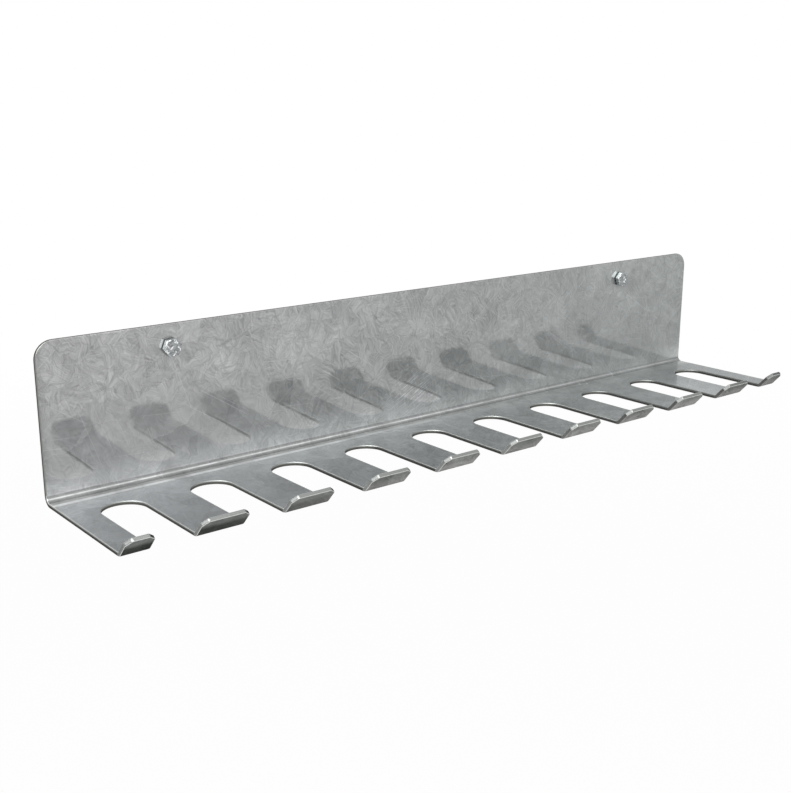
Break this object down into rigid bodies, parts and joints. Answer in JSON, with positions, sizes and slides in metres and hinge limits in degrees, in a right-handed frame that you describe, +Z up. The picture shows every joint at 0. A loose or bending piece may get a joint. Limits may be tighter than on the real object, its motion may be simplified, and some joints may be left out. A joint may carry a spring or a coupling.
{
  "type": "pipe clamp wall rack",
  "caption": "Wall rack for pipe clamps: a folded galvanised sheet with a row of open slots in its shelf, bent-up finger tips, and two lag screws that hold it.",
  "frame": {"origin": "on the wall plane, midway between the axes of the two wall screws", "axes": "+X along the rack to the right as seen from the room, +Y into the wall, +Z up"},
  "size_m": [0.6092, 0.1616, 0.103],
  "materials": {
    "galvanised_sheet": "mill-galvanised sheet steel, dull with soft spangle and shop scratches",
    "zinc_screw": "bright zinc plate, clear passivated"
  },
  "bodies": {
    "root": {"rack_sheet": "galvanised_sheet", "wall_screw_left": "zinc_screw", "wall_screw_right": "zinc_screw"}
  },
  "joints": []
}
